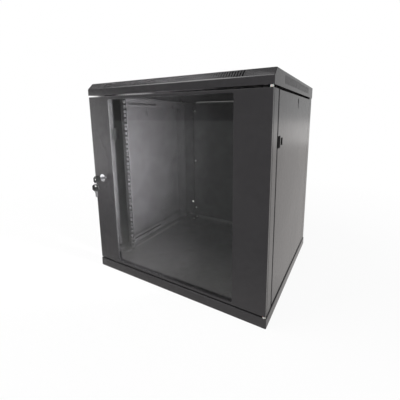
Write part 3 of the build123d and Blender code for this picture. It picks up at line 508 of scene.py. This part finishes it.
def screw_head():
    head = bmesh.new()
    points = [head.verts.new((radius, 0.0, rise)) for radius, rise in head_outline]
    edges = [head.edges.new(pair) for pair in zip(points, points[1:])]
    bmesh.ops.spin(
        head,
        geom=points + edges,
        axis=(0, 0, 1),
        cent=(0, 0, 0),
        angle=math.tau,
        steps=24,
        use_merge=True,
    )
    bmesh.ops.remove_doubles(head, verts=head.verts, dist=weld)
    rims = [edge for edge in head.edges if len(edge.link_faces) == 1]
    lower = [edge for edge in rims if edge.verts[0].co.z < 0]
    upper = [edge for edge in rims if edge.verts[0].co.z > 0]
    bmesh.ops.contextual_create(head, geom=lower)
    bmesh.ops.contextual_create(head, geom=upper)
    for axis in ((1, 0, 0), (0, 1, 0)):
        for offset in (-cross_arm, cross_arm):
            bmesh.ops.bisect_plane(
                head,
                geom=list(head.verts) + list(head.edges) + list(head.faces),
                plane_co=Vector(axis) * offset,
                plane_no=axis,
            )
    cross = [face for face in head.faces if on_cross(face)]
    bmesh.ops.inset_region(head, faces=cross, thickness=cross_wall, depth=0.0)
    corners = list({corner for face in cross for corner in face.verts})
    bmesh.ops.translate(head, verts=corners, vec=(0, 0, -cross_depth))
    bmesh.ops.recalc_face_normals(head, faces=head.faces)
    return head


sample = screw_head()
print("screw head faces", len(sample.faces))
sample.free()

# %% [markdown]
# A screw on a real cabinet never stops at the same angle as its neighbour. Each head
# is turned a little further than the last, stood on its sheet and added to one mesh,
# so that a whole set of screws is a single object that rides with the back panel.

# %% A set of screws


def screw_group(name, spots, stands_along):
    group = bmesh.new()
    stand = Vector(stands_along).to_track_quat("Z", "Y").to_matrix().to_4x4()
    for turn, spot in enumerate(spots):
        head = screw_head()
        twist = Matrix.Rotation(math.radians(23.0 + 37.0 * turn), 4, "Z")
        placing = Matrix.Translation(spot) @ stand @ twist
        bmesh.ops.transform(head, matrix=placing, verts=head.verts)
        one = bpy.data.meshes.new("one_head")
        head.to_mesh(one)
        head.free()
        group.from_mesh(one)
        bpy.data.meshes.remove(one)
    piece = hang_up(name, group, math.radians(32.0))
    piece.data.materials.append(zinc.material)
    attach(piece, body_of["back_panel"])
    print(name, len(piece.data.polygons))


# %% [markdown]
# Where the cover screws stand. The back panel's six heads sit in two columns on its
# inner face. The roof's entry cover is held from below and the floor's from above, by
# four screws each, two at either end.

# %% Place the cover screws
panel_face, roof_plate_face, floor_plate_face = 0.2473, 0.6176, 0.027
panel_columns, panel_rows = (-0.221, 0.221), (0.067, 0.3047, 0.5424)
roof_columns, roof_rows = (-0.156, 0.156), (0.205 - 0.01333, 0.205 + 0.01333)
floor_columns, floor_rows = (-0.206, 0.206), (0.216 - 0.01333, 0.216 + 0.01333)
screw_group(
    "back_panel_screws",
    [(x, panel_face, z) for x in panel_columns for z in panel_rows],
    stands_along=(0, -1, 0),
)
screw_group(
    "roof_cover_screws",
    [(x, y, roof_plate_face) for x in roof_columns for y in roof_rows],
    stands_along=(0, 0, -1),
)
screw_group(
    "floor_cover_screws",
    [(x, y, floor_plate_face) for x in floor_columns for y in floor_rows],
    stands_along=(0, 0, 1),
)

# %% [markdown]
# Floor and backdrop. The photograph is a cut-out on white. The floor is a broad matt
# sheet that turns white where the camera looks straight at it, and keeps a share of
# real shading near the cabinet, so that the cabinet's shadow stays there. Glossy paint
# and glass mirror the floor as well. In them it is bright behind the cabinet and dim
# in front of it, as in a studio whose front half is unlit. The back face of the glass
# mirrors through the pane, so those rays arrive as transmission rays, and the floor
# answers them in the same way once they are past the cabinet's own footprint.

# %% Floor sheet
bed = bmesh.new()
bmesh.ops.create_grid(bed, x_segments=1, y_segments=1, size=30.0)
floor_mesh = bpy.data.meshes.new("studio_floor")
bed.to_mesh(floor_mesh)
bed.free()
floor = bpy.data.objects.new("studio_floor", floor_mesh)
scene.collection.objects.link(floor)
sheet = Finish("studio_sheet")
sheet.set(Base_Color=(0.80, 0.80, 0.80, 1), Roughness=0.9, Specular_IOR_Level=0.1)
floor_mesh.materials.append(sheet.material)
print("floor", floor.name)

# %% [markdown]
# Light Path tells the floor's material which kind of ray has met it. One Mix Shader
# answers the camera, another the mirrors, and a third chooses between the two. The
# distance from the cabinet's middle keeps the shadow and clears the far floor to white.

# %% What the floor looks like to each kind of ray
white = sheet.node("ShaderNodeEmission", Color=(1, 1, 1, 1), Strength=1.0)
dim_front = sheet.node("ShaderNodeEmission", Color=(1, 1, 1, 1), Strength=0.33)
bright_back = sheet.node("ShaderNodeEmission", Color=(1, 0.965, 0.945, 1), Strength=0.85)
seen = sheet.rays("Camera")
mirrored = sheet.rays("Glossy")
passed = sheet.rays("Transmission")
spot = sheet.place()
reach = sheet.node("ShaderNodeVectorMath", {"operation": "LENGTH"}, out=1, Vector=spot)
depth = sheet.node("ShaderNodeSeparateXYZ", out="Y", Vector=spot)
past_shadow = sheet.spread(reach, 0.0, 1.0, 0.6, 1.5)
past_cabinet = sheet.spread(reach, 0.0, 1.0, 0.40, 0.60)
in_front = sheet.spread(depth, 1.0, 0.0, -0.55, 0.0)
whitened = seen * (0.93 + past_shadow * 0.07) + passed * 0.7
looked_at = sheet.share(whitened, sheet.shader, white)
in_mirrors = sheet.share(in_front, bright_back, dim_front)
sheet.show(sheet.share(mirrored + passed * past_cabinet, looked_at, in_mirrors))
print("floor nodes", len(sheet.tree.nodes))

# %% [markdown]
# World. It is white for the camera, and a plain soft level for everything that the sky
# lights. In mirrors and through glass it is dimmer still, because the dark room that a
# real studio is shows there.

# %% World
world = bpy.data.worlds.new("studio_world")
world.use_nodes = True
scene.world = world
around = Wiring(world.node_tree)
sky_level, to_white = 0.45, 0.55
less_in_mirrors, less_through_glass = 0.19, 0.22
level = (
    sky_level
    + around.rays("Camera") * to_white
    - around.rays("Glossy") * less_in_mirrors
    - around.rays("Transmission") * less_through_glass
)
sky = world.node_tree.nodes["Background"]
feed(sky.inputs["Color"], (1, 1, 1, 1))
feed(sky.inputs["Strength"], level)
print("world", world.name)

# %% [markdown]
# Lamps. The key box stands in front and to the right. It is large and dim, so that the
# glossy paint mirrors a soft patch and not a hard rectangle. The back box stands behind,
# where the right side panel mirrors it at a grazing angle. The top box lights the roof
# and its sloping edge from the left. The lock card is a small strip that the chromed
# lock mirrors. Little of all this gets through the glass, so an unseen strip lamp near
# the right-hand post lights the left wall inside, as light that comes through the door
# does, and a narrow snoot from the front adds a little on the lower part of that wall.

# %% Lamps


def soft_box(name, where, towards, size, power, spread=180.0):
    lamp = bpy.data.lights.new(name, "AREA")
    lamp.shape = "RECTANGLE"
    lamp.size, lamp.size_y = size
    lamp.energy = power
    lamp.spread = math.radians(spread)
    holder = bpy.data.objects.new(name, lamp)
    aim = Vector(towards) - Vector(where)
    holder.rotation_mode = "QUATERNION"
    holder.rotation_quaternion = aim.to_track_quat("-Z", "Y")
    holder.location = where
    scene.collection.objects.link(holder)
    print("lamp", name, power)
    return holder


soft_box("key_box", (1.6, -2.4, 1.2), (-0.1, -0.1, 0.36), (2.2, 2.0), 48.0)
soft_box("back_box", (0.9, 3.0, 1.0), (0.3, 0.0, 0.4), (3.6, 1.8), 9.0)
soft_box("top_box", (-1.2, -1.0, 2.6), (0.0, 0.0, 0.4), (1.6, 1.6), 45.0)
soft_box("lock_card", (-1.53, -1.05, 0.3), (-0.26, -0.26, 0.32), (0.35, 0.9), 1.8)
unseen = soft_box(
    "inside_box", (0.19, -0.20, 0.36), (-0.29, -0.15, 0.37), (0.07, 0.40), 9.8, spread=96.0
)
unseen.visible_camera = False
unseen.visible_glossy = False
unseen.visible_transmission = False
soft_box(
    "window_snoot", (1.15, -1.25, 0.62), (-0.14, -0.25, 0.36), (0.15, 0.15), 0.7, spread=15.0
)

# %% [markdown]
# Camera. Its place, angle and focal length were worked out from the corners of the
# roof, the door and the base in the photograph. The focal length, and the point where
# the camera's axis meets the picture, are counted in the photograph's pixels. That
# point lies above and right of the middle, because the photograph is a crop, and the
# camera's shift takes that up.

# %% Camera
picture = 400.0
focal_length = 256.7607
axis_across, axis_down = 215.3494, 161.8354
lens = bpy.data.cameras.new("camera")
lens.sensor_width = 36.0
lens.lens = focal_length * lens.sensor_width / picture
lens.shift_x = -(axis_across - picture / 2) / picture
lens.shift_y = (axis_down - picture / 2) / picture
camera = bpy.data.objects.new("camera", lens)
scene.collection.objects.link(camera)
azimuth, elevation, roll = (math.radians(turn) for turn in (28.7212, 9.9551, -0.1367))
back = Vector(
    (
        math.sin(azimuth) * math.cos(elevation),
        -math.cos(azimuth) * math.cos(elevation),
        math.sin(elevation),
    )
)
side = Vector((math.cos(azimuth), math.sin(azimuth), 0.0))
up = back.cross(side)
turned = Matrix((side, up, back)).transposed() @ Matrix.Rotation(roll, 3, "Z")
camera.matrix_world = Matrix.Translation((0.456857, -0.791912, 0.515777)) @ turned.to_4x4()
scene.camera = camera
scene.view_settings.view_transform = "Standard"
print("camera lens", round(lens.lens, 2))
print("camera shift", round(lens.shift_x, 4), round(lens.shift_y, 4))

# %% [markdown]
